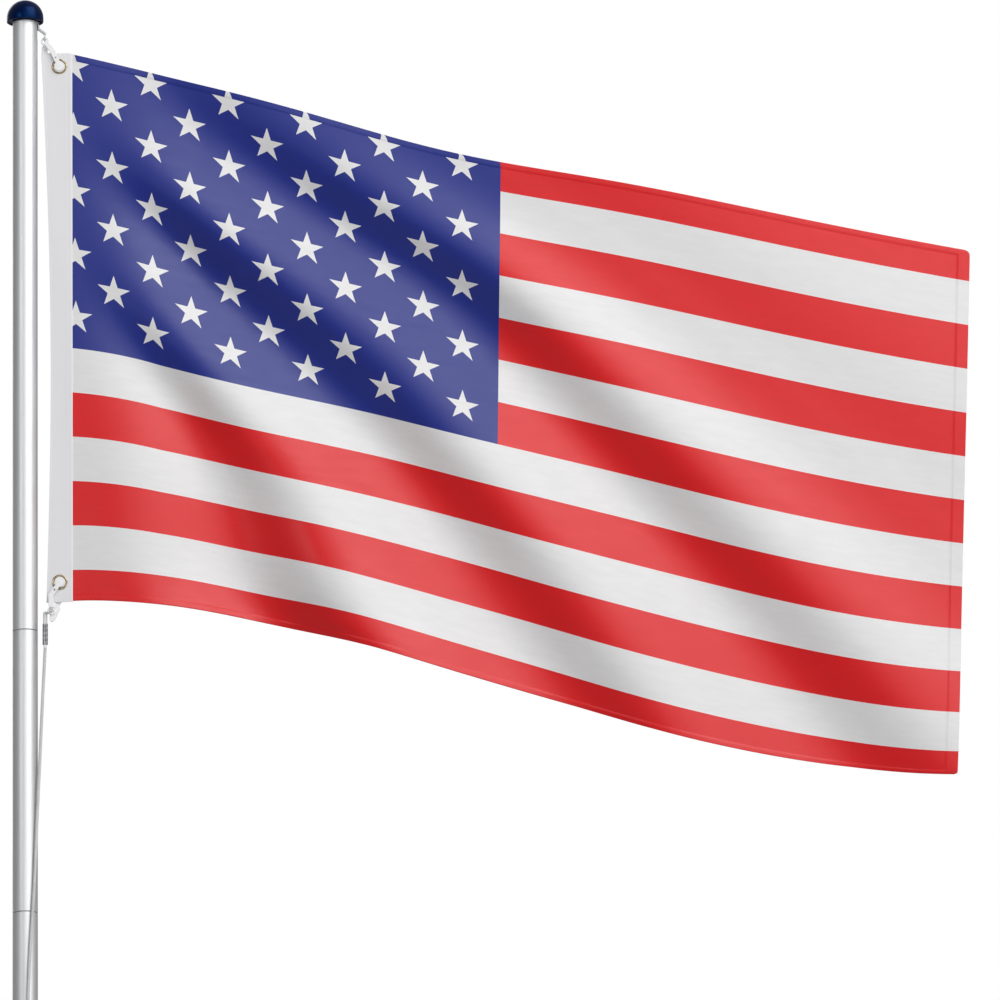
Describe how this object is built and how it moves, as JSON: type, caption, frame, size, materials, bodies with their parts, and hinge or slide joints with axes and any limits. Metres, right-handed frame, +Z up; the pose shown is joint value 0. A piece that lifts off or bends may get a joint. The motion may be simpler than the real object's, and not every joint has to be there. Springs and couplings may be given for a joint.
{
  "type": "sectional flagpole with internal halyard and flag",
  "caption": "Slim sectional aluminium flagpole with a domed cap, a pulley at its top, a halyard with clips and a cleat, and a striped flag with a starred corner.",
  "frame": {"origin": "on the pole's axis at ground level, on the foot plug's flat underside", "axes": "+Z up along the pole, +X towards the flag's fly, -Y towards the side with the cleat"},
  "size_m": [1.5387, 0.07, 5.5065],
  "materials": {
    "tube": "satin",
    "cap": "gloss",
    "dark_plastic": "matte",
    "white_plastic": "satin",
    "rope": "braided",
    "steel": "satin",
    "brass": "polished",
    "heading": "woven",
    "cloth": "printed polyester"
  },
  "bodies": {
    "pole": {"foot_plug": "dark_plastic", "ground_collar": "dark_plastic", "pole_section_1": "tube", "pole_section_2": "tube", "pole_section_3": "tube", "pole_section_4": "tube", "pole_section_5": "tube", "pole_section_6": "tube", "coupler_1": "tube", "coupler_2": "tube", "coupler_3": "tube", "coupler_4": "tube", "coupler_5": "tube", "top_cap": "cap", "pulley_sheave": "dark_plastic", "pulley_axle": "steel", "halyard_return": "rope", "halyard_lower": "rope", "halyard_hitch": "rope", "rope_exit_bush": "dark_plastic", "cleat_body": "dark_plastic", "cleat_screw_upper": "steel", "cleat_screw_lower": "steel"},
    "line": {"halyard_upper": "rope"},
    "flag": {"upper_rope_loop": "rope", "upper_clip": "white_plastic", "upper_clip_gate": "white_plastic", "upper_grommet": "brass", "lower_clip": "white_plastic", "lower_clip_gate": "white_plastic", "lower_grommet": "brass", "link_ring": "steel", "lower_rope_loop": "rope", "rope_ferrule": "steel", "rope_whipping": "white_plastic", "flag_heading": "heading", "flag_cloth": "cloth"}
  },
  "joints": [
    {"name": "flag_hoist", "type": "slide", "parent": "pole", "child": "line", "axis": [0, 0, 1], "range_m": [-3, 0], "deforming": ["halyard_upper", "halyard_lower"]},
    {"name": "flag_swing", "type": "hinge", "parent": "line", "child": "flag", "pos_m": [0.03182, -0.00334, 4.9], "axis": [0, 0, 1], "range_deg": [-90, 90]}
  ]
}
